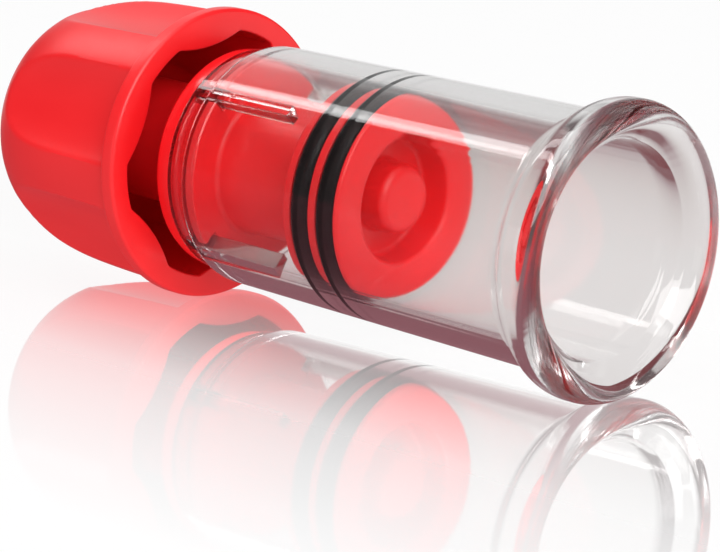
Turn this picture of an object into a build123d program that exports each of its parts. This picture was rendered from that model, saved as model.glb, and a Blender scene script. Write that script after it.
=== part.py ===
from build123d import *
import math
import os

# Hand-twist vacuum suction cup, in millimetres.
# The axis of the cup lies along X. The origin is the centre of the mouth rim, whose
# sealing face is the plane X = 0 and looks along +X. Everything else is behind it, at
# negative X: barrel, bearing collar, then the knob. +Z is up, away from the surface
# that the cup lies on. Turning the knob winds the piston along its lead screw, and
# that draws air out of the space in front of the piston.

# ---- barrel: clear tube with a rolled mouth rim ----
BORE_R = 10.8
BARREL_R_FRONT = 13.0
BARREL_R_REAR = 12.6
RIM_R = 14.9
RIM_WIDTH = 3.9
RIM_FRONT_ROUND = 2.1
RIM_REAR_ROUND = 2.3
RIM_FLARE_END_X = -5.7
RIM_FLARE_ROUND = 2.5
LIP_LAND_R = 11.9
LIP_FLARE_DEPTH = 2.8
LIP_ROUND = 0.6
LIP_THROAT_ROUND = 4.0
SHOULDER_X = -49.2
NECK_R = 11.9
BARREL_REAR_X = -52.0

# ---- guide ribs inside the rear half of the bore ----
RIB_COUNT = 4
RIB_START_ANGLE = 40.0
RIB_WIDTH = 1.0
RIB_TIP_R = 9.25
RIB_FRONT_X = -38.4
RIB_ROOT_BITE = 0.3

# ---- bearing collar closing the rear of the barrel ----
COLLAR_R = 11.7
COLLAR_REAR_X = -54.2
COLLAR_ROUND = 0.8
SPIGOT_R = 10.75
SPIGOT_FRONT_X = -51.0
THRUST_POCKET_R = 6.3
THRUST_POCKET_FLOOR_X = -52.7
JOURNAL_HOLE_R = 3.55

# ---- lead screw ----
SCREW_R = 4.4
SCREW_TIP_X = -34.4
SCREW_TIP_CHAMFER = 0.6
THRUST_FLANGE_R = 6.0
THRUST_FLANGE_FRONT_X = -51.2
THRUST_FLANGE_REAR_X = -52.6
JOURNAL_R = 3.5
TAIL_FRONT_X = -54.3
TAIL_REAR_X = -67.0
TAIL_FLAT_HALF = 2.7

# ---- piston: head, threaded sleeve and rear guide flange ----
FACE_X = -28.3
HEAD_REAR_X = -35.9
HEAD_R = 10.3
HEAD_EDGE_ROUND = 0.4
HEAD_REAR_ROUND = 0.3
FACE_RECESS_R = 6.4
FACE_RECESS_DEPTH = 2.0
FACE_RECESS_ROUND = 0.4
FACE_BOSS_R = 3.4
FACE_BOSS_DROP = 0.6
FACE_BOSS_ROUND = 0.5
SLEEVE_R = 7.0
SLEEVE_ROOT_ROUND = 0.6
SLEEVE_BORE_R = 4.5
SLEEVE_BORE_END_X = -33.0
GUIDE_R = 10.5
GUIDE_FRONT_X = -48.6
GUIDE_REAR_X = -49.8

# ---- notches that let the guide flange and the spigot clear the ribs ----
NOTCH_WIDTH = 1.4
NOTCH_FLOOR_R = 9.0

# ---- O-rings and the grooves that hold them ----
RING_SECTION_R = 1.2
RING_OUTER_R = 10.77
RING_GROOVE_WIDTH = 2.5
RING_GROOVE_FLOOR_R = 8.4
FRONT_RING_X = -30.05
REAR_RING_X = -33.55

# ---- knob: fluted cup with a central hub ----
KNOB_FRONT_X = -56.5
KNOB_RIM_R = 15.45
KNOB_RIM_REAR_X = -58.2
KNOB_RIM_FRONT_ROUND = 0.4
KNOB_RIM_REAR_ROUND = 0.2
KNOB_BODY_R = 14.75
KNOB_SIDE_FRONT = (-67.5, 14.5)
KNOB_SIDE_FRONT_LEAN = 2.5
KNOB_SIDE_MIDDLE = (-73.5, 13.78)
KNOB_SIDE_MIDDLE_LEAN = 13.0
KNOB_SIDE_REAR = (-78.0, 12.0)
KNOB_SIDE_REAR_LEAN = 35.0
KNOB_REAR_X = -82.8
KNOB_WALL = 1.6
FLUTE_COUNT = 6
FLUTE_START_ANGLE = 36.0
FLUTE_CENTRE_R = 26.85
FLUTE_R = 14.0
FLUTE_WALL = 1.1
FLUTE_TILT = 1.5
FLUTE_CUTTER_LENGTH = 80.0
HUB_R = 6.5
HUB_FRONT_X = -54.4
SOCKET_CLEARANCE = 0.05
SOCKET_END_X = -67.5

# sections of turned parts are drawn with X along the axis and the radius upwards
SECTION = Plane(origin=(0, 0, 0), x_dir=(1, 0, 0), z_dir=(0, -1, 0))


def across(x):
    """Plane square to the axis at X = x, facing the mouth."""
    return Plane.YZ.offset(x)


def radial_bars(inner_r, outer_r, width):
    """One bar at each rib's angle, from inner_r out to outer_r."""
    with PolarLocations((inner_r + outer_r) / 2, RIB_COUNT, RIB_START_ANGLE):
        Rectangle(outer_r - inner_r, width)


def double_d(round_r, flat_half):
    """Circle with two flats, the shape that keys the screw to the knob."""
    Circle(round_r)
    Rectangle(2 * round_r, 2 * flat_half, mode=Mode.INTERSECT)


def moved_in(point, lean, inset):
    """Side point moved in by inset, square to a surface that leans in by lean."""
    return (
        point[0] + inset * math.sin(math.radians(lean)),
        point[1] - inset * math.cos(math.radians(lean)),
    )


def knob_half_section(front_x, inset):
    """Half section of the unfluted knob, moved in by inset, open end at X = front_x."""
    wall = Line(
        (front_x, KNOB_BODY_R - inset),
        (KNOB_RIM_REAR_X, KNOB_BODY_R - inset),
    )
    dome = Spline(
        wall @ 1,
        moved_in(KNOB_SIDE_FRONT, KNOB_SIDE_FRONT_LEAN, inset),
        moved_in(KNOB_SIDE_MIDDLE, KNOB_SIDE_MIDDLE_LEAN, inset),
        moved_in(KNOB_SIDE_REAR, KNOB_SIDE_REAR_LEAN, inset),
        (KNOB_REAR_X + inset, 0),
        tangents=((-1, 0), (0, -1)),
    )
    Polyline(dome @ 1, (front_x, 0), wall @ 0)


def flute_cylinders(radius):
    """Six cylinders round the knob, leaning in to the rear until the dome drops away."""
    with PolarLocations(FLUTE_CENTRE_R, FLUTE_COUNT, FLUTE_START_ANGLE):
        Cylinder(radius, FLUTE_CUTTER_LENGTH, rotation=(0, FLUTE_TILT, 0))


os.makedirs("parts", exist_ok=True)

# ---- barrel ----
with BuildPart() as barrel:
    with BuildSketch(SECTION):
        with BuildLine():
            FilletPolyline(
                (-LIP_FLARE_DEPTH, BORE_R),
                (0, LIP_LAND_R),
                (0, RIM_R),
                (-RIM_WIDTH, RIM_R),
                (RIM_FLARE_END_X, BARREL_R_FRONT),
                (SHOULDER_X, BARREL_R_REAR),
                (SHOULDER_X, NECK_R),
                (BARREL_REAR_X, NECK_R),
                (BARREL_REAR_X, BORE_R),
                radius=(
                    LIP_THROAT_ROUND,
                    LIP_ROUND,
                    RIM_FRONT_ROUND,
                    RIM_REAR_ROUND,
                    RIM_FLARE_ROUND,
                    0,
                    0,
                    0,
                    0,
                ),
                close=True,
            )
        make_face()
    revolve(axis=Axis.X)
    with BuildSketch(across(BARREL_REAR_X)):
        radial_bars(RIB_TIP_R, BORE_R + RIB_ROOT_BITE, RIB_WIDTH)
    extrude(amount=RIB_FRONT_X - BARREL_REAR_X)
barrel.part.label = "barrel"
export_step(barrel.part, "parts/barrel.step")

# ---- bearing collar: lip behind the barrel, notched spigot inside it ----
with BuildPart() as bearing_collar:
    with BuildSketch(SECTION):
        with BuildLine():
            FilletPolyline(
                (SPIGOT_FRONT_X, THRUST_POCKET_R),
                (SPIGOT_FRONT_X, SPIGOT_R),
                (BARREL_REAR_X, SPIGOT_R),
                (BARREL_REAR_X, COLLAR_R),
                (COLLAR_REAR_X, COLLAR_R),
                (COLLAR_REAR_X, JOURNAL_HOLE_R),
                (THRUST_POCKET_FLOOR_X, JOURNAL_HOLE_R),
                (THRUST_POCKET_FLOOR_X, THRUST_POCKET_R),
                radius=(0, 0, 0, 0, COLLAR_ROUND, 0, 0, 0),
                close=True,
            )
        make_face()
    revolve(axis=Axis.X)
    with BuildSketch(across(BARREL_REAR_X)):
        radial_bars(NOTCH_FLOOR_R, BORE_R, NOTCH_WIDTH)
    extrude(amount=SPIGOT_FRONT_X - BARREL_REAR_X, mode=Mode.SUBTRACT)
bearing_collar.part.label = "bearing_collar"
export_step(bearing_collar.part, "parts/bearing_collar.step")

# ---- lead screw: plain shank at the thread's major diameter, flange, journal, tail ----
with BuildPart() as lead_screw:
    with BuildSketch(SECTION):
        with BuildLine():
            Polyline(
                (SCREW_TIP_X, 0),
                (SCREW_TIP_X, SCREW_R - SCREW_TIP_CHAMFER),
                (SCREW_TIP_X - SCREW_TIP_CHAMFER, SCREW_R),
                (THRUST_FLANGE_FRONT_X, SCREW_R),
                (THRUST_FLANGE_FRONT_X, THRUST_FLANGE_R),
                (THRUST_FLANGE_REAR_X, THRUST_FLANGE_R),
                (THRUST_FLANGE_REAR_X, JOURNAL_R),
                (TAIL_FRONT_X, JOURNAL_R),
                (TAIL_FRONT_X, 0),
                close=True,
            )
        make_face()
    revolve(axis=Axis.X)
    with BuildSketch(across(TAIL_FRONT_X)):
        double_d(JOURNAL_R, TAIL_FLAT_HALF)
    extrude(amount=TAIL_REAR_X - TAIL_FRONT_X)
lead_screw.part.label = "lead_screw"
export_step(lead_screw.part, "parts/lead_screw.step")

# ---- piston: recessed face with a boss, two ring grooves, sleeve and guide flange ----
front_groove_start = FRONT_RING_X + RING_GROOVE_WIDTH / 2
front_groove_end = FRONT_RING_X - RING_GROOVE_WIDTH / 2
rear_groove_start = REAR_RING_X + RING_GROOVE_WIDTH / 2
rear_groove_end = REAR_RING_X - RING_GROOVE_WIDTH / 2

with BuildPart() as piston:
    with BuildSketch(SECTION):
        with BuildLine():
            FilletPolyline(
                (FACE_X - FACE_BOSS_DROP, 0),
                (FACE_X - FACE_BOSS_DROP, FACE_BOSS_R),
                (FACE_X - FACE_RECESS_DEPTH, FACE_BOSS_R),
                (FACE_X - FACE_RECESS_DEPTH, FACE_RECESS_R),
                (FACE_X, FACE_RECESS_R),
                (FACE_X, HEAD_R),
                (front_groove_start, HEAD_R),
                (front_groove_start, RING_GROOVE_FLOOR_R),
                (front_groove_end, RING_GROOVE_FLOOR_R),
                (front_groove_end, HEAD_R),
                (rear_groove_start, HEAD_R),
                (rear_groove_start, RING_GROOVE_FLOOR_R),
                (rear_groove_end, RING_GROOVE_FLOOR_R),
                (rear_groove_end, HEAD_R),
                (HEAD_REAR_X, HEAD_R),
                (HEAD_REAR_X, SLEEVE_R),
                (GUIDE_FRONT_X, SLEEVE_R),
                (GUIDE_FRONT_X, GUIDE_R),
                (GUIDE_REAR_X, GUIDE_R),
                (GUIDE_REAR_X, SLEEVE_BORE_R),
                (SLEEVE_BORE_END_X, SLEEVE_BORE_R),
                (SLEEVE_BORE_END_X, 0),
                radius=(
                    0,
                    FACE_BOSS_ROUND,
                    FACE_RECESS_ROUND,
                    FACE_RECESS_ROUND,
                    FACE_RECESS_ROUND,
                    HEAD_EDGE_ROUND,
                    0,
                    0,
                    0,
                    0,
                    0,
                    0,
                    0,
                    0,
                    HEAD_REAR_ROUND,
                    SLEEVE_ROOT_ROUND,
                    SLEEVE_ROOT_ROUND,
                    0,
                    0,
                    0,
                    0,
                    0,
                ),
                close=True,
            )
        make_face()
    revolve(axis=Axis.X)
    with BuildSketch(across(GUIDE_REAR_X)):
        radial_bars(NOTCH_FLOOR_R, BORE_R, NOTCH_WIDTH)
    extrude(amount=GUIDE_FRONT_X - GUIDE_REAR_X, mode=Mode.SUBTRACT)
piston.part.label = "piston"
export_step(piston.part, "parts/piston.step")

# ---- O-rings, pressed lightly on their groove floors ----
with BuildPart() as front_o_ring:
    with BuildSketch(SECTION):
        with Locations((FRONT_RING_X, RING_OUTER_R - RING_SECTION_R)):
            Circle(RING_SECTION_R)
    revolve(axis=Axis.X)
front_o_ring.part.label = "front_o_ring"
export_step(front_o_ring.part, "parts/front_o_ring.step")

with BuildPart() as rear_o_ring:
    with BuildSketch(SECTION):
        with Locations((REAR_RING_X, RING_OUTER_R - RING_SECTION_R)):
            Circle(RING_SECTION_R)
    revolve(axis=Axis.X)
rear_o_ring.part.label = "rear_o_ring"
export_step(rear_o_ring.part, "parts/rear_o_ring.step")

# ---- hollow of the knob: its outside, flutes included, moved in by the wall ----
with BuildPart(across(KNOB_RIM_REAR_X)) as inner_flutes:
    flute_cylinders(FLUTE_R + FLUTE_WALL)

with BuildPart() as knob_hollow:
    with BuildSketch(SECTION):
        with BuildLine():
            knob_half_section(KNOB_FRONT_X + KNOB_WALL, KNOB_WALL)
        make_face()
        with Locations((KNOB_REAR_X, 0)):
            Rectangle(
                KNOB_FRONT_X + KNOB_WALL - KNOB_REAR_X,
                HUB_R,
                align=(Align.MIN, Align.MIN),
                mode=Mode.SUBTRACT,
            )
    revolve(axis=Axis.X)
    add(inner_flutes.part, mode=Mode.SUBTRACT)

# ---- knob ----
with BuildPart(across(KNOB_RIM_REAR_X)) as outer_flutes:
    flute_cylinders(FLUTE_R)

with BuildPart() as grip_knob:
    with BuildSketch(SECTION):
        with BuildLine():
            knob_half_section(KNOB_FRONT_X, 0)
        make_face()
    revolve(axis=Axis.X)
    add(outer_flutes.part, mode=Mode.SUBTRACT)
    with BuildSketch(SECTION):
        with BuildLine():
            FilletPolyline(
                (KNOB_FRONT_X, 0),
                (KNOB_FRONT_X, KNOB_RIM_R),
                (KNOB_RIM_REAR_X, KNOB_RIM_R),
                (KNOB_RIM_REAR_X, 0),
                radius=(0, KNOB_RIM_FRONT_ROUND, KNOB_RIM_REAR_ROUND, 0),
                close=True,
            )
        make_face()
    revolve(axis=Axis.X)
    add(knob_hollow.part, mode=Mode.SUBTRACT)
    with BuildSketch(across(KNOB_FRONT_X)):
        Circle(HUB_R)
    extrude(amount=HUB_FRONT_X - KNOB_FRONT_X)
    with BuildSketch(across(HUB_FRONT_X)):
        double_d(JOURNAL_R + SOCKET_CLEARANCE, TAIL_FLAT_HALF + SOCKET_CLEARANCE)
    extrude(amount=SOCKET_END_X - HUB_FRONT_X, mode=Mode.SUBTRACT)
grip_knob.part.label = "grip_knob"
export_step(grip_knob.part, "parts/grip_knob.step")
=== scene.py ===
"""Dressed model of a hand-twist vacuum suction cup.

A clear tube with a rolled rim holds a red piston, which two black O-rings seal against
the bore. The fluted knob behind the tube turns a lead screw, and that winds the piston
back and forth. Sizes are in millimetres until a mesh is made, and the X axis is the
cup's own axis, with the mouth at X = 0.
"""

from __future__ import annotations

import logging
import math
from dataclasses import dataclass
from enum import Enum
from functools import partial
from typing import Callable, Iterable, Sequence

import bmesh
import bpy
from bpy.types import ID, Material, Mesh, Node, NodeSocket, NodeTree, Object
from mathutils import Matrix, Vector

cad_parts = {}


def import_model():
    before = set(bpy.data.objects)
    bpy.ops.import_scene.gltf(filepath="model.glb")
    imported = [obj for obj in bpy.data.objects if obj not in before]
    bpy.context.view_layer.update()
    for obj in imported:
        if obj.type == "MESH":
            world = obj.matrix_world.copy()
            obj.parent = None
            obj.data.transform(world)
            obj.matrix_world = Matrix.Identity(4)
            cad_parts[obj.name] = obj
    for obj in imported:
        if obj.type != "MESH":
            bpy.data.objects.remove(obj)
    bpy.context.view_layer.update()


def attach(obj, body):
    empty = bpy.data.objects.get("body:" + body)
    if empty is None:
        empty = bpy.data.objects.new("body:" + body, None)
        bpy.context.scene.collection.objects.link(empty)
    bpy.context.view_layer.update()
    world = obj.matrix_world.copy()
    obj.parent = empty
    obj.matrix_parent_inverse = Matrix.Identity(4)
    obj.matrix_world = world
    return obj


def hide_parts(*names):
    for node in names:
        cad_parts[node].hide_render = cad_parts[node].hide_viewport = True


LOG = logging.getLogger("suction_cup")

MM = 0.001
"""Metres in a millimetre: sizes are held in millimetres, and meshes in metres."""

WELD = 2e-7
"""Points nearer to each other than this, in metres, are one."""

Point = tuple[float, float]  # a place in a section, or any pair of sizes
Spot = tuple[float, float, float]  # a place or a direction
Colour = tuple[float, float, float, float]  # linear red, green and blue, and alpha
Profile = list[Point]  # a section: x and distance from the axis
Corner = tuple[float, float, float | None]  # x, distance from the axis, rounding
Stops = tuple[tuple[float, str], ...]  # positions on a ramp, and their sRGB hex colours
Add = Callable[..., Node]  # add_node for one tree

WHITE: Colour = (1.0, 1.0, 1.0, 1.0)


class Body(Enum):
    """Rigid bodies of the cup that a piece can ride on."""

    BARREL = "barrel"
    KNOB = "knob"
    PISTON = "piston"


# ------------------------ node helpers

MATH = "ShaderNodeMath"
VECTOR_MATH = "ShaderNodeVectorMath"
COMBINE = "ShaderNodeCombineXYZ"
MAP_RANGE = "ShaderNodeMapRange"
RAMP = "ShaderNodeValToRGB"
MIX = "ShaderNodeMixShader"
TRANSFORM = "GeometryNodeTransform"


def add_node(
    tree: NodeTree, kind: str, feeds: dict[int | str, object] | None = None, **settings: object
) -> Node:
    """Add one node to a tree.

    Args:
        tree: node tree that gets the node.
        kind: Blender's name for the node's type.
        feeds: for an input's name or index, a value, the output that drives it, or the
            node whose first output does.
        **settings: the node's own settings, by name.

    Returns:
        The new node.
    """
    node = tree.nodes.new(kind)
    for name, value in settings.items():
        setattr(node, name, value)
    for key, value in (feeds or {}).items():
        if isinstance(value, Node):
            value = value.outputs[0]
        if isinstance(value, NodeSocket):
            tree.links.new(value, node.inputs[key])
        else:
            node.inputs[key].default_value = value
    return node


def srgb(code: str) -> Colour:
    """Turn an sRGB hex colour into the linear colour that shaders take.

    Args:
        code: six hex digits, such as "E4141A".

    Returns:
        Linear red, green and blue, and an alpha of 1.
    """
    channels = [int(code[i : i + 2], 16) / 255 for i in (0, 2, 4)]
    linear = [c / 12.92 if c <= 0.04045 else ((c + 0.055) / 1.055) ** 2.4 for c in channels]
    return (linear[0], linear[1], linear[2], 1.0)


def set_ramp(ramp: Node, stops: Sequence[tuple[float, Colour]]) -> None:
    """Give a colour ramp its stops: position and colour, positions rising."""
    elements = ramp.color_ramp.elements
    while len(elements) < len(stops):
        elements.new(1.0)
    for element, (position, colour) in zip(elements, stops):
        element.position, element.color = position, colour


def new_material(name: str) -> tuple[Add, Material]:
    """Make an empty node material.

    Args:
        name: what the real material and its process are called.

    Returns:
        What adds nodes to the material, and the material.
    """
    material = bpy.data.materials.new(name)
    material.use_nodes = True
    material.node_tree.nodes.clear()
    return partial(add_node, material.node_tree), material


# ------------------------ finishes


@dataclass(frozen=True, kw_only=True)
class Moulding:
    """Opaque moulded material: clouded colour, a gloss that wanders and a fine grain."""

    name: str
    colours: tuple[str, str]
    colour_span: Point = (0.0, 1.0)
    cloud_mm: float
    stretch: float = 1.0
    roughness: Point
    gloss_span: Point = (0.3, 0.7)
    grain_mm: float
    grain_strength: float = 0.5
    grain_depth_mm: float
    ior: float

    def skin(self) -> dict[str, object]:
        """Settings of the surface besides its colour, gloss and grain."""
        return {"IOR": self.ior}

    def material(self) -> Material:
        """Build the material.

        Returns:
            Opaque material whose clouds are drawn out along the cup's axis, the way that
            it flowed into the mould.
        """
        add, material = new_material(self.name)
        place = add("ShaderNodeTexCoord").outputs["Object"]
        drawn = add("ShaderNodeMapping", {"Vector": place, "Scale": (self.stretch, 1.0, 1.0)})
        clouds, grain = (
            add("ShaderNodeTexNoise", {"Vector": way, "Scale": 1.0 / (size * MM), "Detail": detail})
            for way, size, detail in ((drawn, self.cloud_mm, 3.0), (place, self.grain_mm, 2.0))
        )
        colour = add(RAMP, {0: clouds})
        set_ramp(colour, list(zip(self.colour_span, map(srgb, self.colours))))
        limits = zip(("From Min", "From Max", "To Min", "To Max"), self.gloss_span + self.roughness)
        gloss = add(MAP_RANGE, {"Value": clouds, **dict(limits)})
        # the eroded face of the mould gives a fine even grain
        depth = self.grain_depth_mm * MM
        relief = {"Height": grain, "Strength": self.grain_strength, "Distance": depth}
        bump = add("ShaderNodeBump", relief)
        feeds = {"Base Color": colour, "Roughness": gloss, "Normal": bump, **self.skin()}
        skin = add("ShaderNodeBsdfPrincipled", feeds)
        add("ShaderNodeOutputMaterial", {"Surface": skin})
        return material


@dataclass(frozen=True, kw_only=True)
class MouldedRed(Moulding):
    """Red ABS from an injection mould: even colour, and a gloss set by the mould's polish."""

    colour_span: Point = (0.3, 0.7)
    cloud_mm: float = 9.0
    stretch: float = 0.35
    grain_strength: float = 0.6
    ior: float = 1.53


@dataclass(frozen=True, kw_only=True)
class NitrileRubber(Moulding):
    """Moulded black nitrile rubber whose gloss comes and goes with a film of grease."""

    name: str = "greased_nitrile_rubber"
    colours: tuple[str, str] = ("040404", "0D0D0E")
    cloud_mm: float = 1.6
    roughness: Point = (0.3, 0.5)
    gloss_span: Point = (0.35, 0.65)
    grain_mm: float = 0.16
    grain_strength: float = 0.4
    grain_depth_mm: float = 0.006
    ior: float = 1.52
    sheen: float = 0.14

    def skin(self) -> dict[str, object]:
        """Settings of the surface: soot in the rubber leaves little sheen."""
        return {"IOR": self.ior, "Specular IOR Level": self.sheen}


@dataclass(frozen=True, kw_only=True)
class NaturalAcetal(Moulding):
    """Natural acetal resin, moulded: milky white, waxy, a little see-through at thin edges."""

    name: str = "moulded_natural_acetal"
    colours: tuple[str, str] = ("DDD8CC", "ECE9E1")
    cloud_mm: float = 3.0
    roughness: Point = (0.3, 0.4)
    grain_mm: float = 0.12
    grain_depth_mm: float = 0.004
    ior: float = 1.48
    depth_share: float = 0.15
    depth_mm: tuple[float, float, float] = (1.2, 1.1, 0.9)

    def skin(self) -> dict[str, object]:
        """Settings of the surface: light goes about a millimetre into the resin."""
        return {
            "IOR": self.ior,
            "Subsurface Weight": self.depth_share,
            "Subsurface Radius": tuple(depth * MM for depth in self.depth_mm),
            "Subsurface Scale": 1.0,
        }


@dataclass(frozen=True)
class ClearAcrylic:
    """Polished clear acrylic: see-through, with long faint flow lines from the mould.

    Its slight roughness hardly shows in one wall, but it blurs light that turns many times
    inside the thick rim.
    """

    name: str = "polished_clear_acrylic"
    tint: str = "F4F3F2"
    lamp_tint: str = "E9E7E5"
    ior: float = 1.49
    roughness: float = 0.06
    wave_mm: float = 7.0
    wave_depth_mm: float = 0.003
    line_mm: float = 0.9
    line_depth_mm: float = 0.0008
    line_stretch: float = 0.05
    relief_strength: float = 0.5

    def material(self) -> Material:
        """Build the material.

        Returns:
            Clear plastic that bends light, and that lets lamps light what it holds.
        """
        add, material = new_material(self.name)
        place = add("ShaderNodeTexCoord").outputs["Object"]
        stretch = (self.line_stretch, 1.0, 1.0)
        drawn = add("ShaderNodeMapping", {"Vector": place, "Scale": stretch})
        # slow waves of the cooled wall, then fine lines that the core left when it was pulled
        surface = {}
        for vector, size, detail, depth in (
            (place, self.wave_mm, 1.0, self.wave_depth_mm),
            (drawn, self.line_mm, 3.0, self.line_depth_mm),
        ):
            pattern = {"Vector": vector, "Scale": 1.0 / (size * MM), "Detail": detail}
            noise = add("ShaderNodeTexNoise", pattern)
            relief = {"Height": noise, "Strength": self.relief_strength, "Distance": depth * MM}
            surface = {"Normal": add("ShaderNodeBump", {**relief, **surface})}
        glass = {"Roughness": self.roughness, "IOR": self.ior, "Transmission Weight": 1.0}
        feeds = {"Base Color": srgb(self.tint), **glass, **surface}
        clear = add("ShaderNodeBsdfPrincipled", feeds)
        lamp_way = add("ShaderNodeBsdfTransparent", {"Color": srgb(self.lamp_tint)})
        shadow = add("ShaderNodeLightPath").outputs["Is Shadow Ray"]
        wall = add(MIX, {0: shadow, 1: clear, 2: lamp_way})
        add("ShaderNodeOutputMaterial", {"Surface": wall})
        return material


KNOB_RED = MouldedRed(
    name="satin_moulded_abs_red",
    colours=("DC1218", "E5161C"),
    roughness=(0.32, 0.4),
    grain_mm=0.22,
    grain_depth_mm=0.012,
)
"""Knob: the mould was spark eroded, so the red has a soft satin sheen."""

PISTON_RED = MouldedRed(
    name="semi_gloss_moulded_abs_red",
    colours=("DF1419", "E8181E"),
    roughness=(0.3, 0.38),
    grain_mm=0.3,
    grain_depth_mm=0.006,
)
"""Piston: a turned mould with a light polish, a little smoother than the knob."""

COLLAR_RED = MouldedRed(
    name="polished_moulded_abs_red",
    colours=("DC1218", "E5161C"),
    roughness=(0.13, 0.19),
    grain_mm=0.8,
    grain_depth_mm=0.003,
)
"""Collar: a polished mould, so the lamps show in it as clear bands."""


# ------------------------ mesh helpers


def rounded(corners: Sequence[Corner], ring: bool, steps: int = 6) -> Profile:
    """Round the corners of a section.

    Args:
        corners: x, radius from the axis, and the rounding; None leaves one sharp point.
        ring: True where the section closes on itself, False where it ends on the axis.
        steps: divisions of each rounded corner.

    Returns:
        Points of the section. A rounded corner always gives steps + 1 points, even
        where its rounding is 0, so sections at two angles match point for point.
    """
    points: Profile = []
    count = len(corners)
    for i, (x, r, radius) in enumerate(corners):
        if radius is None or (not ring and i in (0, count - 1)):
            points.append((x, r))
            continue
        corner = Vector((x, r))
        back = Vector(corners[i - 1][:2]) - corner
        ahead = Vector(corners[(i + 1) % count][:2]) - corner
        if radius <= 0 or back.length < 1e-6 or ahead.length < 1e-6:
            points.extend([(x, r)] * (steps + 1))
            continue
        back.normalize()
        ahead.normalize()
        half = math.acos(max(-1.0, min(1.0, back.dot(ahead)))) / 2
        centre = corner + (back + ahead).normalized() * (radius / math.sin(half))
        first = corner + back * (radius / math.tan(half)) - centre
        last = corner + ahead * (radius / math.tan(half)) - centre
        turn = first.angle_signed(last)
        for k in range(steps + 1):
            spoke = first.copy()
            spoke.rotate(Matrix.Rotation(-turn * k / steps, 2))
            points.append((centre.x + spoke.x, centre.y + spoke.y))
    return points


def quarter_arc(radius: float, steps: int) -> list[Point]:
    """Quarter of a circle, as distances from the two lines that it joins.

    Args:
        radius: radius of the circle.
        steps: number of even steps.

    Returns:
        Pairs of distances, from (radius, 0) to (0, radius).
    """
    turns = [math.pi / 2 * k / steps for k in range(steps + 1)]
    return [(radius * (1 - math.sin(t)), radius * (1 - math.cos(t))) for t in turns]


def mark_creases(mesh: Mesh, degrees: float = 32.0) -> None:
    """Shade a mesh smooth, except across edges that turn by more than an angle.

    Args:
        mesh: mesh to mark.
        degrees: the least turn between two faces that still shows as an edge.
    """
    shape = bmesh.new()
    shape.from_mesh(mesh)
    for face in shape.faces:
        face.smooth = True
    limit = math.radians(degrees)
    for edge in shape.edges:
        edge.smooth = len(edge.link_faces) == 2 and edge.calc_face_angle(0.0) < limit
    shape.to_mesh(mesh)
    shape.free()


def new_object(name: str, data: ID) -> Object:
    """Put a mesh, a lamp or a camera in the scene as an object at the origin."""
    obj = bpy.data.objects.new(name, data)
    bpy.context.scene.collection.objects.link(obj)
    return obj


def lathe(
    name: str,
    section_at: Callable[[float], Sequence[Sequence[float]]],
    columns: Iterable[Point],
    ring: bool,
    layers: Sequence[str] = (),
) -> Object:
    """Sweep a section round the X axis into one closed shell.

    Args:
        name: name of the object.
        section_at: gives the section for a column's own radius. Each of its points is x,
            distance from the axis, and a value for each layer.
        columns: angle and own radius of each column, once round, angles rising.
        ring: True where the section closes on itself, False where it ends on the axis.
        layers: names of the attributes that the points carry.

    Returns:
        A smooth-shaded object with its faces pointing outwards.
    """
    shape = bmesh.new()
    carried = [shape.verts.layers.float.new(layer) for layer in layers]
    rows = []
    for angle, radius in columns:
        cosine, sine = math.cos(angle), math.sin(angle)
        row = []
        for x, r, *values in section_at(radius):
            vert = shape.verts.new((x * MM, r * cosine * MM, r * sine * MM))
            for layer, value in zip(carried, values):
                vert[layer] = value
            row.append(vert)
        rows.append(row)
    length = len(rows[0])
    for row, beside in zip(rows, [*rows[1:], rows[0]]):
        for i in range(length if ring else length - 1):
            k = (i + 1) % length
            shape.faces.new((row[i], row[k], beside[k], beside[i]))
    bmesh.ops.remove_doubles(shape, verts=shape.verts, dist=WELD)
    bmesh.ops.dissolve_degenerate(shape, edges=shape.edges, dist=WELD)
    bmesh.ops.recalc_face_normals(shape, faces=shape.faces)
    mesh = bpy.data.meshes.new(name)
    shape.to_mesh(mesh)
    shape.free()
    mark_creases(mesh)
    return new_object(name, mesh)


def plain_columns(count: int) -> list[Point]:
    """Columns spaced evenly round the axis, with no radius of their own."""
    return [(math.tau * k / count, 0.0) for k in range(count)]


@dataclass(frozen=True)
class RadialBars:
    """Straight bars spaced round the axis: ribs that stand in, or notches that cut in."""

    count: int = 4
    start_degrees: float = 40.0
    base_r: float = 10.8
    tip_r: float = 9.25
    width: float = 1.0
    base_round: float = 0.2
    tip_round: float = 0.15
    shoulder: float = 0.6
    spacing: int = 360

    def outline(self) -> list[Point]:
        """Outline of one bar across its width: sideways place and distance from the axis."""
        half = self.width / 2
        one_side = [
            (half + self.shoulder, self.base_r, None),
            (half, self.base_r, self.base_round),
            (half, self.tip_r, self.tip_round),
        ]
        corners = [(-side, r, radius) for side, r, radius in one_side] + one_side[::-1]
        return rounded(corners, ring=False, steps=4)

    def columns(self) -> list[Point]:
        """Columns for a lathe that follow the bars.

        Returns:
            Angle and radius of each column: the bars' outlines, and even columns between.
        """
        found: list[Point] = []
        taken = []
        for k in range(self.count):
            middle = math.radians(self.start_degrees) + math.tau * k / self.count
            bar = [(middle + math.asin(side / r), r) for side, r in self.outline()]
            taken.append((bar[0][0], bar[-1][0]))
            found.extend(bar)
        margin = math.tau / self.spacing / 3
        for angle, _ in plain_columns(self.spacing):
            if all(
                (angle - low + margin) % math.tau > (high - low + 2 * margin)
                for low, high in taken
            ):
                found.append((angle, self.base_r))
        return sorted((angle % math.tau, r) for angle, r in found)


# ------------------------ geometry node trees


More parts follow.
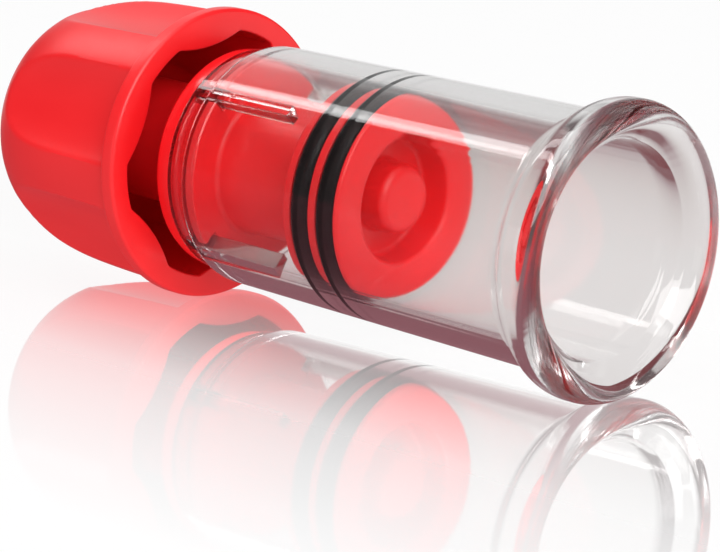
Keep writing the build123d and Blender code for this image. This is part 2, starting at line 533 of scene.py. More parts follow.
def new_rule(name: str, *sizes: str) -> tuple[Add, dict[str, NodeSocket]]:
    """Start a Geometry Nodes tree: geometry, named sizes and a finish go in, geometry out.

    Args:
        name: name of the tree.
        *sizes: names of the sizes that go in.

    Returns:
        What adds nodes to the tree, and the sockets that bring its inputs, by name.
    """
    tree = bpy.data.node_groups.new(name, "GeometryNodeTree")
    face = tree.interface
    face.new_socket("Geometry", in_out="INPUT", socket_type="NodeSocketGeometry")
    for size in sizes:
        face.new_socket(size, in_out="INPUT", socket_type="NodeSocketFloat")
    face.new_socket("Finish", in_out="INPUT", socket_type="NodeSocketMaterial")
    face.new_socket("Geometry", in_out="OUTPUT", socket_type="NodeSocketGeometry")
    add = partial(add_node, tree)
    given = add("NodeGroupInput").outputs
    return add, {socket.name: socket for socket in given if socket.name}


def end_rule(add: Add, shape: Node, finish: NodeSocket) -> NodeTree:
    """End a Geometry Nodes tree: instances become real, and everything gets its finish.

    Args:
        add: what adds nodes to the tree.
        shape: node that gives the tree's finished geometry.
        finish: the material to set on it.

    Returns:
        The tree.
    """
    real = add("GeometryNodeRealizeInstances", {0: shape})
    dressed = add("GeometryNodeSetMaterial", {"Geometry": real, "Material": finish})
    return add("NodeGroupOutput", {0: dressed}).id_data


def follow_rule(
    obj: Object, tree: NodeTree, finish: Material, lengths: dict[str, float], **others: float
) -> Object:
    """Run a Geometry Nodes tree on an object and keep the result as its plain mesh.

    Args:
        obj: object whose mesh goes in.
        tree: tree to run.
        finish: material that the tree sets.
        lengths: the tree's inputs in millimetres, by name.
        **others: its other inputs, by name with an underscore for each space.

    Returns:
        The same object, with the new mesh and no modifier.
    """
    values = {"Finish": finish, **{name: size * MM for name, size in lengths.items()}}
    values.update({name.replace("_", " "): value for name, value in others.items()})
    modifier = obj.modifiers.new(tree.name, "NODES")
    modifier.node_group = tree
    for item in tree.interface.items_tree:
        if item.item_type == "SOCKET" and item.in_out == "INPUT" and item.name in values:
            modifier[item.identifier] = values[item.name]
    evaluated = obj.evaluated_get(bpy.context.evaluated_depsgraph_get())
    mesh = bpy.data.meshes.new_from_object(evaluated)
    obj.modifiers.remove(modifier)
    before, obj.data = obj.data, mesh
    bpy.data.meshes.remove(before)
    mesh.name = obj.name
    return obj


def spokes(add: Add) -> dict[str, NodeSocket]:
    """Measure where each point of a mesh is.

    Args:
        add: what adds nodes to the tree that asks.

    Returns:
        Sockets with the point's place ("here"), its "x", "y" and "z", and its distance
        from the X axis ("radius").
    """
    here = add("GeometryNodeInputPosition").outputs[0]
    x, y, z = add("ShaderNodeSeparateXYZ", {0: here}).outputs
    spoke = add(COMBINE, {1: y, 2: z})
    length = add(VECTOR_MATH, {0: spoke}, operation="LENGTH")
    return {"here": here, "x": x, "y": y, "z": z, "radius": length.outputs["Value"]}


def place_points(
    add: Add,
    shape: Node | NodeSocket,
    point: dict[str, NodeSocket],
    scale: Node | NodeSocket,
    finish: NodeSocket,
    shift: float | NodeSocket = 0.0,
) -> NodeTree:
    """End a rule that moves each point along its spoke, and all of them along X.

    Args:
        add: what adds nodes to the tree.
        shape: geometry whose points move.
        point: what spokes() measured.
        scale: the point's new distance from the axis, as a share of the old one.
        finish: the material to set.
        shift: how far everything moves along X.

    Returns:
        The tree.
    """
    share = add(COMBINE, {0: 1.0, 1: scale, 2: scale})
    along = add(COMBINE, {0: shift})
    feeds = {0: point["here"], 1: share, 2: along}
    moved = add(VECTOR_MATH, feeds, operation="MULTIPLY_ADD")
    placed = add("GeometryNodeSetPosition", {"Geometry": shape, "Position": moved})
    return end_rule(add, placed, finish)


FLUTE_LAYERS = ("flute_share", "flute_inset", "flute_rise")
"""Attributes of the turned knob, which say how far a point follows the flutes.

In turn: 0 or 1; the wall that lies between the point and the outside; and the point's
height over the fluted line.
"""

FLUTE_STEPS = (
    # angle off the middle of the nearest flute
    ("angle", "ARCTAN2", "z", "y"),
    ("sector", "DIVIDE", math.tau, "Count"),
    ("off", "SUBTRACT", "angle", "Start Angle"),
    ("turns", "DIVIDE", "off", "sector"),
    ("whole", "ROUND", "turns"),
    ("middle", "MULTIPLY", "whole", "sector"),
    ("aside", "SUBTRACT", "off", "middle"),
    # how far off the axis the leaning cylinder's own axis is at this point's X
    ("behind", "SUBTRACT", "x", "Lean From"),
    ("distance", "MULTIPLY_ADD", "behind", "Lean Slope", "Cylinder Distance"),
    # the spoke meets it at distance cos(aside) - sqrt(reach^2 - (distance sin(aside))^2)
    ("reach", "ADD", "Cylinder Radius", "flute_inset"),
    ("reach_squared", "MULTIPLY", "reach", "reach"),
    ("sine", "SINE", "aside"),
    ("cosine", "COSINE", "aside"),
    ("sideways", "MULTIPLY", "distance", "sine"),
    ("forwards", "MULTIPLY", "distance", "cosine"),
    ("sideways_squared", "MULTIPLY", "sideways", "sideways"),
    ("depth", "SUBTRACT", "reach_squared", "sideways_squared"),
    ("real_depth", "MAXIMUM", "depth", 0.0),
    ("chord", "SQRT", "real_depth"),
    ("line", "SUBTRACT", "forwards", "chord"),
    # the lower of the turned line and the fluted one, with the crest between them softened
    ("bare", "SUBTRACT", "radius", "flute_rise"),
    ("lower", "SMOOTH_MIN", "bare", "line", "Softness"),
    ("drop", "SUBTRACT", "lower", "bare"),
    ("chosen", "MULTIPLY_ADD", "drop", "flute_share", "radius"),
    ("safe", "MAXIMUM", "radius", 1e-6),
    ("scale", "DIVIDE", "chosen", "safe"),
)
"""How far each point of the knob moves: a name, an operation and what goes into it."""


def flute_rule() -> NodeTree:
    """Build the tree that sinks evenly spaced concave flutes into a turned knob.

    Each point's fluted line is where its own spoke from the axis meets the nearest of the
    leaning cylinders that stand round the knob.

    Returns:
        The tree, with the cylinders' sizes as its inputs.
    """
    cylinders = ("Cylinder Radius", "Cylinder Distance", "Lean Slope", "Lean From", "Softness")
    add, get = new_rule("knob_flutes", "Count", "Start Angle", *cylinders)
    known = {**get, **spokes(add)}
    for name in FLUTE_LAYERS:
        stored = add("GeometryNodeInputNamedAttribute", {"Name": name}, data_type="FLOAT")
        known[name] = stored.outputs[0]
    for name, operation, *terms in FLUTE_STEPS:
        feeds = {i: known.get(term, term) for i, term in enumerate(terms)}
        known[name] = add(MATH, feeds, operation=operation).outputs[0]
    return place_points(add, get["Geometry"], known, known["scale"], get["Finish"])


def thread_rule() -> NodeTree:
    """Build the tree that winds a trapezoidal thread round a screw's core.

    Returns:
        The tree, with the thread's sizes as its inputs.
    """
    ridge_sizes = ("Pitch Radius", "Depth", "Root Width", "Crest Width")
    add, get = new_rule("screw_thread", "Turns", "Length", "Rear End", *ridge_sizes)
    spiral = {
        "Resolution": 64,
        "Rotations": get["Turns"],
        "Start Radius": get["Pitch Radius"],
        "End Radius": get["Pitch Radius"],
        "Height": get["Length"],
    }
    helix = add("GeometryNodeCurveSpiral", spiral)
    upright = add("GeometryNodeSetCurveNormal", {"Curve": helix}, mode="Z_UP")
    # the thread runs out to nothing over its first and last quarter turn
    along = add("GeometryNodeSplineParameter").outputs["Factor"]
    left = add(MATH, {0: 1.0, 1: along}, operation="SUBTRACT")
    nearest = add(MATH, {0: along, 1: left}, operation="MINIMUM")
    quarters = add(MATH, {0: get["Turns"], 1: 4.0}, operation="MULTIPLY")
    swell = add(MATH, {0: nearest, 1: quarters}, operation="MULTIPLY")
    width = add("ShaderNodeClamp", {"Value": swell, "Min": 0.05, "Max": 1.0})
    tapered = add("GeometryNodeSetCurveRadius", {"Curve": upright, "Radius": width})
    sides = {
        "Bottom Width": get["Root Width"],
        "Top Width": get["Crest Width"],
        "Offset": 0.0,
        "Height": get["Depth"],
    }
    ridge = add("GeometryNodeCurvePrimitiveQuadrilateral", sides, mode="TRAPEZOID")
    turned = add(TRANSFORM, {"Geometry": ridge, "Rotation": (0.0, 0.0, -math.pi / 2)})
    wound = add(
        "GeometryNodeCurveToMesh", {"Curve": tapered, "Profile Curve": turned, "Fill Caps": True}
    )
    rear = add(COMBINE, {0: get["Rear End"]})
    laid = add(
        TRANSFORM, {"Geometry": wound, "Rotation": (0.0, math.pi / 2, 0.0), "Translation": rear}
    )
    joined = add("GeometryNodeJoinGeometry", {0: laid})
    joined.id_data.links.new(get["Geometry"], joined.inputs[0])
    return end_rule(add, joined, get["Finish"])


def ring_rule() -> NodeTree:
    """Build the tree that lays a rubber ring in its groove and flattens it on the bore.

    Returns:
        The tree, with the ring's sizes and place as its inputs.
    """
    add, get = new_rule("seal_ring", "Section Radius", "Ring Radius", "Flattened At", "Place")
    circle, section = (
        add("GeometryNodeCurvePrimitiveCircle", {"Resolution": resolution, "Radius": get[radius]})
        for resolution, radius in ((192, "Ring Radius"), (48, "Section Radius"))
    )
    swept = add("GeometryNodeCurveToMesh", {"Curve": circle, "Profile Curve": section})
    upright = add(TRANSFORM, {"Geometry": swept, "Rotation": (0.0, math.pi / 2, 0.0)})
    point = spokes(add)
    kept = add(MATH, {0: point["radius"], 1: get["Flattened At"]}, operation="MINIMUM")
    scale = add(MATH, {0: kept, 1: point["radius"]}, operation="DIVIDE")
    return place_points(add, upright, point, scale, get["Finish"], get["Place"])


# ------------------------ sub-assemblies


def place_piece(obj: Object, body: Body, node: str, finish: Material) -> Object:
    """Give a finished piece its material and its body, and hide the solid that it stands for.

    Args:
        obj: the piece.
        body: body that it moves with.
        node: solid that it replaces.
        finish: material, set on the whole piece.

    Returns:
        The piece.
    """
    obj.data.materials.clear()
    obj.data.materials.append(finish)
    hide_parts(node)
    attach(obj, body.value)
    return obj


@dataclass
class ClearBarrel:
    """Clear tube with a rolled mouth rim, guide ribs and a red bearing collar at its rear."""

    bore_r: float = 10.8
    front_r: float = 13.0
    rear_r: float = 12.6
    rim_r: float = 14.9
    rim_width: float = 3.9
    rim_front_x: float = -0.5
    rim_front_round: float = 1.65
    rim_rear_round: float = 2.3
    flare_end_x: float = -5.7
    flare_round: float = 2.5
    lip_r: float = 12.44
    lip_depth: float = 2.6
    lip_round: float = 1.65
    throat_round: float = 0.25
    shoulder_x: float = -49.2
    neck_r: float = 11.9
    rear_x: float = -52.0
    edge_round: float = 0.18
    rib_front_x: float = -38.4
    ribs: RadialBars = RadialBars()
    collar_r: float = 11.7
    collar_rear_x: float = -54.2
    spigot_front_x: float = -51.0
    pocket_r: float = 6.3
    pocket_rear_x: float = -52.7
    journal_r: float = 3.55
    notches: RadialBars = RadialBars(base_r=10.75, tip_r=9.0, width=1.4, base_round=0.1)

    def tube_section(self, inner_r: float) -> Profile:
        """Section of the tube's wall where its rear half is bored to inner_r.

        Args:
            inner_r: the bore's radius, or less where a rib stands.

        Returns:
            Closed section.
        """
        edge = self.edge_round
        corners = [
            (self.rear_x, inner_r, None),
            (self.rib_front_x, inner_r, None),
            (self.rib_front_x, self.bore_r, None),
            (-self.lip_depth, self.bore_r, self.throat_round),
            (self.rim_front_x, self.lip_r, self.lip_round),
            (self.rim_front_x, self.rim_r, self.rim_front_round),
            (-self.rim_width, self.rim_r, self.rim_rear_round),
            (self.flare_end_x, self.front_r, self.flare_round),
            (self.shoulder_x, self.rear_r, edge),
            (self.shoulder_x, self.neck_r, edge),
            (self.rear_x, self.neck_r, edge),
        ]
        return rounded(corners, ring=True, steps=18)

    def build_tube(self) -> Object:
        """Make the tube, one closed shell with its ribs."""
        obj = lathe("clear_barrel", self.tube_section, self.ribs.columns(), ring=True)
        return place_piece(obj, Body.BARREL, "barrel", ClearAcrylic().material())

    def build_collar(self) -> Object:
        """Make the bearing collar, whose spigot is notched round the tube's ribs."""

        def section(spigot_r: float) -> Profile:
            """Section of the collar where its spigot reaches out to spigot_r."""
            corners = [
                (self.spigot_front_x, self.pocket_r, 0.2),
                (self.spigot_front_x, spigot_r, None),
                (self.rear_x, spigot_r, None),
                (self.rear_x, self.collar_r, 0.15),
                (self.collar_rear_x, self.collar_r, 0.8),
                (self.collar_rear_x, self.journal_r, 0.25),
                (self.pocket_rear_x, self.journal_r, None),
                (self.pocket_rear_x, self.pocket_r, None),
            ]
            return rounded(corners, ring=True, steps=8)

        obj = lathe("bearing_collar_red", section, self.notches.columns(), ring=True)
        red = COLLAR_RED.material()
        return place_piece(obj, Body.BARREL, "bearing_collar", red)

    def build(self) -> list[Object]:
        """Make everything that stays with the tube."""
        return [self.build_tube(), self.build_collar()]


@dataclass
class SealedPiston:
    """Piston with a recessed face, two O-rings, a long threaded sleeve and a guide flange."""

    face_x: float = -28.3
    head_r: float = 10.3
    head_rear_x: float = -35.9
    recess_r: float = 6.4
    recess_depth: float = 3.7
    boss_r: float = 3.5
    boss_drop: float = 0.05
    groove_xs: Point = (-30.05, -33.55)
    groove_width: float = 2.5
    groove_floor_r: float = 8.4
    sleeve_r: float = 7.0
    guide_front_x: float = -48.6
    guide_rear_x: float = -49.8
    bore_r: float = 4.5
    bore_end_x: float = -33.0
    ring_section_r: float = 1.2
    ring_r: float = 9.66
    ring_flat_r: float = 10.803
    ring_crease_degrees: float = 60.0
    notches: RadialBars = RadialBars(
        base_r=10.5, tip_r=9.0, width=1.4, base_round=0.15, tip_round=0.2
    )

    def section(self, guide_r: float) -> Profile:
        """Section of the piston where its guide flange reaches out to guide_r.

        Args:
            guide_r: the flange's radius, or less in a notch.

        Returns:
            Section that starts and ends on the axis.
        """
        recess_x = self.face_x - self.recess_depth
        corners: list[Corner] = [
            (self.face_x - self.boss_drop, 0.0, None),
            (self.face_x - self.boss_drop, self.boss_r, 0.9),
            (recess_x, self.boss_r, 0.5),
            (recess_x, self.recess_r, 0.5),
            (self.face_x, self.recess_r, 0.5),
            (self.face_x, self.head_r, 0.4),
        ]
        for x in self.groove_xs:
            front, rear = x + self.groove_width / 2, x - self.groove_width / 2
            corners += [
                (front, self.head_r, 0.08),
                (front, self.groove_floor_r, 0.2),
                (rear, self.groove_floor_r, 0.2),
                (rear, self.head_r, 0.12),
            ]
        corners += [
            (self.head_rear_x, self.head_r, 0.3),
            (self.head_rear_x, self.sleeve_r, 0.6),
            (self.guide_front_x, self.sleeve_r, 0.6),
            (self.guide_front_x, guide_r, 0.15),
            (self.guide_rear_x, guide_r, 0.15),
            (self.guide_rear_x, self.bore_r, 0.3),
            (self.bore_end_x, self.bore_r, None),
            (self.bore_end_x, 0.0, None),
        ]
        return rounded(corners, ring=False, steps=6)

    def build_moulding(self) -> Object:
        """Make the piston's red moulding."""
        obj = lathe("piston_red", self.section, self.notches.columns(), ring=False)
        return place_piece(obj, Body.PISTON, "piston", PISTON_RED.material())

    def build_rings(self) -> list[Object]:
        """Make both O-rings from one rule."""
        rule = ring_rule()
        rubber = NitrileRubber().material()
        rings = []
        for node, x in zip(("front_o_ring", "rear_o_ring"), self.groove_xs):
            name = f"{node}_rubber"
            lengths = {
                "Section Radius": self.ring_section_r,
                "Ring Radius": self.ring_r,
                "Flattened At": self.ring_flat_r,
                "Place": x,
            }
            obj = new_object(name, bpy.data.meshes.new(name))
            follow_rule(obj, rule, rubber, lengths)
            mark_creases(obj.data, self.ring_crease_degrees)
            rings.append(place_piece(obj, Body.PISTON, node, rubber))
        return rings

    def build(self) -> list[Object]:
        """Make everything that slides in the tube."""
        return [self.build_moulding(), *self.build_rings()]


@dataclass
class KnobDrive:
    """Fluted knob, and the lead screw whose tail is keyed in its hub."""

    front_x: float = -56.5
    rim_r: float = 15.45
    rim_rear_x: float = -58.2
    body_r: float = 14.75
    side: tuple[Spot, ...] = (
        (-58.2, 14.75, 0.3),
        (-67.5, 14.5, 2.8),
        (-73.5, 13.78, 13.0),
        (-78.0, 12.0, 32.0),
        (-82.8, 0.0, 90.0),
    )
    wall: float = 1.6
    flute_wall: float = 1.1
    hub_r: float = 6.5
    hub_front_x: float = -54.4
    socket_r: float = 3.55
    socket_end_x: float = -67.5
    flute_count: int = 6
    flute_start_degrees: float = 36.0
    flute_r: float = 14.0
    flute_distance: float = 26.85
    flute_lean_degrees: float = 1.5
    flute_softness: float = 0.18
    columns: int = 360
    side_step: float = 0.7
    side_arm: float = 0.3333
    tip_arm: float = 0.3565
    rim_fillet: float = 0.35
    hollow_edge: float = 0.22
    hub_fillet: float = 0.4
    crease_degrees: float = 28.0
    screw_tip_x: float = -34.4
    screw_core_r: float = 3.6
    thrust_xs: Point = (-51.2, -52.6)
    thrust_r: float = 6.0
    tail_r: float = 3.5
    tail_rear_x: float = -67.0
    thread_turns: float = 6.16
    thread_length: float = 15.4
    thread_rear_x: float = -50.4
    thread_r: float = 3.95
    thread_depth: float = 0.9
    thread_root: float = 1.7
    thread_crest: float = 0.7

    def side_line(self, inset: float) -> Profile:
        """Side of the knob from the rim to the dome's tip, before fluting.

        Args:
            inset: how far the line lies inside the outer surface.

        Returns:
            Points from front to rear, about side_step apart.
        """
        knots = []
        for x, r, lean in self.side:
            slope = math.radians(lean)
            point = Vector((x + inset * math.sin(slope), r - inset * math.cos(slope)))
            knots.append((point, Vector((-math.cos(slope), -math.sin(slope)))))
        line: Profile = []
        for (first, way), (last, way_on) in zip(knots, knots[1:]):
            gap = (last - first).length
            pull = gap * (self.tip_arm if last.y < 1e-6 else self.side_arm)
            steps = max(6, round(gap / self.side_step))
            for k in range(steps):
                t = k / steps
                s = 1 - t
                point = (
                    first * s**3
                    + (first + way * pull) * (3 * s * s * t)
                    + (last - way_on * pull) * (3 * s * t * t)
                    + last * t**3
                )
                line.append((point.x, point.y))
        line.append((knots[-1][0].x, 0.0))
        return line

    def stations(self) -> list[tuple[float, float, float, float, float]]:
        """Section of the knob, each point with what the flutes need to know of it.

        Returns:
            For each point x, radius, flute_share, flute_inset and flute_rise, from the
            dome's tip round the rim and the hollow to the bottom of the hub's socket.
        """
        front, rear, inner_r = self.front_x, self.rim_rear_x, self.body_r - self.wall
        found = [(x, r, 1.0, 0.0, 0.0) for x, r in reversed(self.side_line(0.0)[1:])]
        for back, rise in quarter_arc(self.rim_fillet, 6):
            found.append((rear - back, self.body_r + rise, 1.0, 0.0, rise))
        corners = [
            (rear, self.body_r + self.rim_fillet, None),
            (rear, self.rim_r, 0.2),
            (front, self.rim_r, 0.4),
            (front, inner_r, None),
        ]
        found += [(x, r, 0.0, 0.0, 0.0) for x, r in rounded(corners, ring=False)[1:-1]]
        for rise, back in quarter_arc(self.hollow_edge, 5):
            found.append((front - back, inner_r + rise, 1.0, self.flute_wall, rise))
        hollow = [p for p in self.side_line(self.wall) if p[1] > self.hub_r + self.hub_fillet]
        found += [(x, r, 1.0, self.flute_wall, 0.0) for x, r in hollow]
        floor_x = hollow[-1][0] - self.hub_fillet
        corners = [
            (floor_x, hollow[-1][1], None),
            (floor_x, self.hub_r, 0.35),
            (self.hub_front_x, self.hub_r, 0.35),
            (self.hub_front_x, self.socket_r, 0.2),
            (self.socket_end_x, self.socket_r, None),
            (self.socket_end_x, 0.0, None),
        ]
        return found + [(x, r, 0.0, 0.0, 0.0) for x, r in rounded(corners, ring=False)[1:]]

    def build_knob(self) -> Object:
        """Turn the knob and let the flute rule carve its outside and its hollow."""
        section = [(*place, inset * MM, rise * MM) for *place, inset, rise in self.stations()]
        columns = plain_columns(self.columns)
        obj = lathe("grip_knob_red", lambda _: section, columns, False, FLUTE_LAYERS)
        red = KNOB_RED.material()
        lengths = {
            "Cylinder Radius": self.flute_r,
            "Cylinder Distance": self.flute_distance,
            "Lean From": self.rim_rear_x,
            "Softness": self.flute_softness,
        }
        follow_rule(
            obj,
            flute_rule(),
            red,
            lengths,
            Count=float(self.flute_count),
            Start_Angle=math.radians(self.flute_start_degrees),
            Lean_Slope=math.tan(math.radians(self.flute_lean_degrees)),
        )
        for name in FLUTE_LAYERS:
            obj.data.attributes.remove(obj.data.attributes[name])
        mark_creases(obj.data, self.crease_degrees)
        return place_piece(obj, Body.KNOB, "grip_knob", red)

    def build_screw(self) -> Object:
        """Make the lead screw: a turned core, and a thread wound round it by rule."""
        front, rear = self.thrust_xs
        corners = [
            (self.screw_tip_x, 0.0, None),
            (self.screw_tip_x, self.screw_core_r, 0.3),
            (front, self.screw_core_r, 0.3),
            (front, self.thrust_r, 0.2),
            (rear, self.thrust_r, 0.2),
            (rear, self.tail_r, None),
            (self.tail_rear_x, self.tail_r, 0.3),
            (self.tail_rear_x, 0.0, None),
        ]
        core = rounded(corners, ring=False)
        obj = lathe("lead_screw_threaded", lambda _: core, plain_columns(96), ring=False)
        resin = NaturalAcetal().material()
        lengths = {
            "Length": self.thread_length,
            "Rear End": self.thread_rear_x,
            "Pitch Radius": self.thread_r,
            "Depth": self.thread_depth,
            "Root Width": self.thread_root,
            "Crest Width": self.thread_crest,
        }
        follow_rule(obj, thread_rule(), resin, lengths, Turns=self.thread_turns)
        mark_creases(obj.data)
        return place_piece(obj, Body.KNOB, "lead_screw", resin)

    def build(self) -> list[Object]:
        """Make everything that turns with the knob."""
        return [self.build_knob(), self.build_screw()]


# ------------------------ studio


@dataclass(frozen=True)
class SoftBox:
    """Soft box: where it hangs, the width and height of its face, and its power."""

    name: str
    spot_mm: Spot
    size_mm: Point
    watts: float

    def hang(self, aim_mm: Spot) -> None:
        """Hang the soft box so that it faces one spot."""
        data = bpy.data.lights.new(self.name, "AREA")
        data.shape = "RECTANGLE"
        data.size, data.size_y = self.size_mm[0] * MM, self.size_mm[1] * MM
        data.energy = self.watts
        lamp = new_object(self.name, data)
        spot = Vector(self.spot_mm) * MM
        turn = (Vector(aim_mm) * MM - spot).to_track_quat("-Z", "Y").to_matrix().to_4x4()
        lamp.matrix_world = Matrix.Translation(spot) @ turn


def shade_by_ray(add: Add, seen: Node, bent: Node, thrown: Node, lighting: Node) -> Node:
    """Give each kind of ray its own shade of the floor or the room.

    Args:
        add: what adds nodes to the floor or the room.
        seen: what the camera sees.
        bent: what shows through the clear parts.
        thrown: what gloss mirrors.
        lighting: what shines on matt surfaces.

    Returns:
        The shader that chooses between them.
    """
    rays = add("ShaderNodeLightPath").outputs
    chosen = bent
    for kind, other in (
        ("Glossy Depth", thrown), ("Diffuse Depth", lighting), ("Is Camera Ray", seen)
    ):
        chosen = add(MIX, {0: rays[kind], 1: chosen, 2: other})
    return chosen


@dataclass
class Studio:
    """Polished white floor, a pale room with soft boxes, and the camera."""

    camera_mm: Spot = (203.4, -247.7, 88.9)
    right: Spot = (0.7178, 0.6962, 0.0074)
    up: Spot = (-0.1960, 0.1918, 0.9617)
    back: Spot = (0.6681, -0.6918, 0.2741)
    lens_mm: float = 174.7
    sensor_mm: float = 36.0
    clip_m: Point = (0.01, 20.0)
    rim_contact: Point = (-57.4, -15.45)
    mouth_contact: Point = (-2.4, -14.9)
    floor_gap_mm: float = 0.02
    floor_reach_mm: float = 2500.0
    floor_white: str = "6C6C6C"
    floor_lift: float = 0.79
    mirror_gain: float = 1.3
    mirror_haze: float = 0.03
    polish_end_mm: float = 58.0
    cup_middle_mm: float = -41.4
    polish_run_mm: Point = (110.0, 150.0)
    polish: tuple[Point, ...] = (
        (0.0, 0.76), (0.17, 0.62), (0.33, 0.4), (0.42, 0.27), (0.57, 0.18), (0.78, 0.08), (1.0, 0.0)
    )
    bent_mm: float = 300.0
    # painted shade that the clear walls show: the sheet darkens to dark rose far behind the cup
    bent_painted_shade: Stops = (
        (0.0, "F4F1F1"), (0.13, "F0EDED"), (0.3, "DFDAD9"), (0.6, "BFB0B2"), (1.0, "8A6468")
    )
    thrown_mm: float = 60.0
    # painted shade and painted rosy reflection of the red cup that gloss picks up in front of it
    thrown_painted_shade_and_reflection: Stops = ((0.0, "8C5C64"), (1.0, "EDEDED"))
    lighting_white: str = "FFFBFB"
    lighting_strength: float = 1.2
    panel_way: Spot = (-0.668, 0.692, 0.274)
    room_greys: Stops = ((0.9, "584A4C"), (0.98, "E3E3E3"))
    # painted shade and painted reflection of the red cup, which clear parts show at their turned
    # edges
    room_painted_rose: str = "7C4448"
    room_strength: float = 0.56
    aim_mm: Spot = (-40.0, 0.0, 0.0)
    lamps: tuple[SoftBox, ...] = (
        SoftBox("rear_strip", (-760.0, -20.0, 820.0), (150.0, 700.0), 1.8),
        SoftBox("rear_box", (-740.0, 300.0, 720.0), (520.0, 600.0), 0.6),
        SoftBox("overhead_box", (100.0, -150.0, 1100.0), (900.0, 900.0), 4.8),
        SoftBox("front_box", (700.0, -300.0, 500.0), (600.0, 600.0), 7.0),
        SoftBox("low_box", (-150.0, -800.0, 120.0), (700.0, 300.0), 0.5),
    )
    bounces: tuple[tuple[str, int], ...] = (
        ("max_bounces", 48), ("glossy_bounces", 40), ("transmission_bounces", 24)
    )

    def build_camera(self) -> None:
        """Make the camera and hand it to the scene."""
        data = bpy.data.cameras.new("camera")
        data.lens = self.lens_mm
        data.sensor_width = self.sensor_mm
        data.clip_start, data.clip_end = self.clip_m
        camera = new_object("camera", data)
        turn = Matrix((self.right, self.up, self.back)).transposed().to_4x4()
        camera.matrix_world = Matrix.Translation(Vector(self.camera_mm) * MM) @ turn
        bpy.context.scene.camera = camera

    def floor_material(self) -> Material:
        """White acrylic sheet, most polished beside the cup.

        Returns:
            Material that the camera sees as white, with a mirror image that fades with
            the distance from the cup. Light that the cup bends or throws back meets a
            sheet with painted shade: greyer, darkening to dark rose far behind the cup,
            and with a painted rosy reflection of the red cup in front of it, so that the
            clear tube stands out from the white.
        """
        add, material = new_material("polished_white_acrylic_sheet")
        place = add("ShaderNodeTexCoord").outputs["Object"]
        along, forward, _ = add("ShaderNodeSeparateXYZ", {0: place}).outputs
        # how polished the sheet is: it falls off to both sides, and past both ends
        middle = {0: along, 1: self.cup_middle_mm * MM}
        from_middle = add(MATH, middle, operation="SUBTRACT")
        parts = []
        for way, start, end in (
            (forward, 0.0, self.polish_end_mm), (from_middle, *self.polish_run_mm)
        ):
            gap = add(MATH, {0: way}, operation="ABSOLUTE")
            span = {"Value": gap, "From Min": start * MM, "From Max": end * MM}
            parts.append(add(MAP_RANGE, span))
        share = add(MATH, dict(enumerate(parts)), operation="ADD")
        polish = add(RAMP, {0: share})
        set_ramp(polish, [(at, (grey, grey, grey, 1.0)) for at, grey in self.polish])
        white = add("ShaderNodeBsdfDiffuse", {"Color": srgb(self.floor_white)})
        lift = add("ShaderNodeEmission", {"Color": WHITE, "Strength": self.floor_lift})
        lifted = add("ShaderNodeAddShader", {0: white, 1: lift})
        gain = (self.mirror_gain, self.mirror_gain, self.mirror_gain, 1.0)
        mirror = add("ShaderNodeBsdfGlossy", {"Color": gain, "Roughness": self.mirror_haze})
        seen = add(MIX, {0: polish, 1: lifted, 2: mirror})
        #         painted shade: the clear walls show a sheet that darkens to dark rose far behind
        #         the cup, and gloss picks up painted shade with a painted rosy reflection of the
        #         red cup in front of it
        shades = []
        for reach, greys in (
            (self.bent_mm, self.bent_painted_shade), (self.thrown_mm, self.thrown_painted_shade_and_reflection)
        ):
            behind = add(MAP_RANGE, {"Value": forward, "From Max": reach * MM})
            tone = add(RAMP, {0: behind})
            set_ramp(tone, [(at, srgb(grey)) for at, grey in greys])
            shades.append(add("ShaderNodeEmission", {"Color": tone}))
        glow = {"Color": srgb(self.lighting_white), "Strength": self.lighting_strength}
        lighting = add("ShaderNodeEmission", glow)
        sheet = shade_by_ray(add, seen, *shades, lighting)
        add("ShaderNodeOutputMaterial", {"Surface": sheet})
        return material

    def build_floor(self) -> None:
        """Lay the floor under the knob's rim and the mouth's rim."""
        run = self.mouth_contact[0] - self.rim_contact[0]
        slope = (self.mouth_contact[1] - self.rim_contact[1]) / run
        corners = []
        reach = self.floor_reach_mm
        for x, y in ((-reach, -reach), (reach, -reach), (reach, reach), (-reach, reach)):
            z = self.rim_contact[1] + slope * (x - self.rim_contact[0]) - self.floor_gap_mm
            corners.append((x * MM, y * MM, z * MM))
        mesh = bpy.data.meshes.new("floor")
        mesh.from_pydata(corners, [], [(0, 1, 2, 3)])
        mesh.materials.append(self.floor_material())
        new_object("floor", mesh)

    def build_world(self) -> None:
        """Make the room.

        The camera sees it white. Gloss picks up a white panel behind the cup and darker
        walls, clear parts show a painted dark rose at their turned edges, painted shade
        and painted reflection of the red cup in one colour, and matt surfaces are lit
        evenly.
        """
        world = bpy.data.worlds.new("studio_room")
        world.use_nodes = True
        world.node_tree.nodes.clear()
        add = partial(add_node, world.node_tree)
        way = {0: add("ShaderNodeTexCoord").outputs["Generated"], 1: self.panel_way}
        facing = add(VECTOR_MATH, way, operation="DOT_PRODUCT")
        room = add(RAMP, {0: facing.outputs["Value"]})
        set_ramp(room, [(at, srgb(grey)) for at, grey in self.room_greys])
        seen, bent, thrown, lighting = (
            add("ShaderNodeBackground", {"Color": colour, "Strength": strength})
            for colour, strength in (
                (WHITE, 1.0),
                # painted dark rose: shade and the red cup's reflection in one colour
                (srgb(self.room_painted_rose), 1.0),
                (room, 1.0),
                (WHITE, self.room_strength),
            )
        )
        surface = shade_by_ray(add, seen, bent, thrown, lighting)
        add("ShaderNodeOutputWorld", {"Surface": surface})
        bpy.context.scene.world = world

    def build(self) -> None:
        """Set up the camera, the floor, the room and the soft boxes."""
        self.build_camera()
        self.build_floor()
        self.build_world()
        for lamp in self.lamps:
            lamp.hang(self.aim_mm)
        scene = bpy.context.scene
        scene.view_settings.view_transform = "Standard"
        # light turns many times inside the thick rim before it comes out again
        for limit, count in self.bounces:
            setattr(scene.cycles, limit, count)


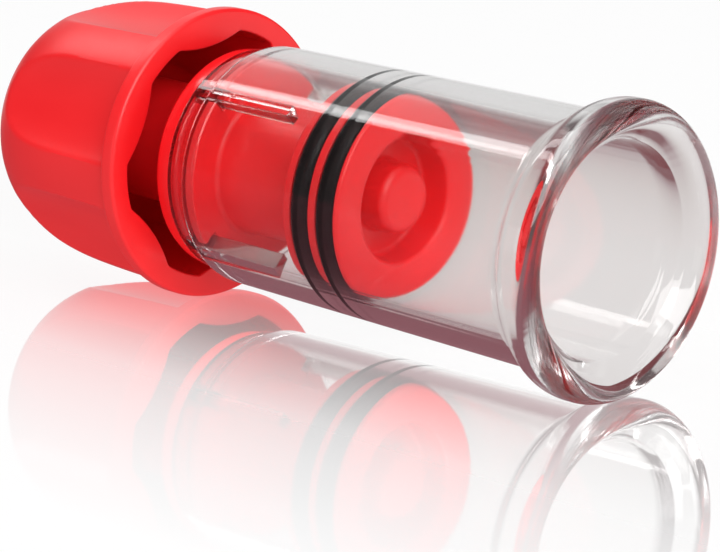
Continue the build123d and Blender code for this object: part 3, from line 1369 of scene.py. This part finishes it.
def main() -> None:
    """Build the cup round its frame, and report each piece."""
    logging.basicConfig(level=logging.INFO, format="%(name)s: %(message)s")
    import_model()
    Studio().build()
    for assembly in (ClearBarrel(), SealedPiston(), KnobDrive()):
        for piece in assembly.build():
            LOG.info("%s: %d faces", piece.name, len(piece.data.polygons))


if __name__ == "__main__":
    main()
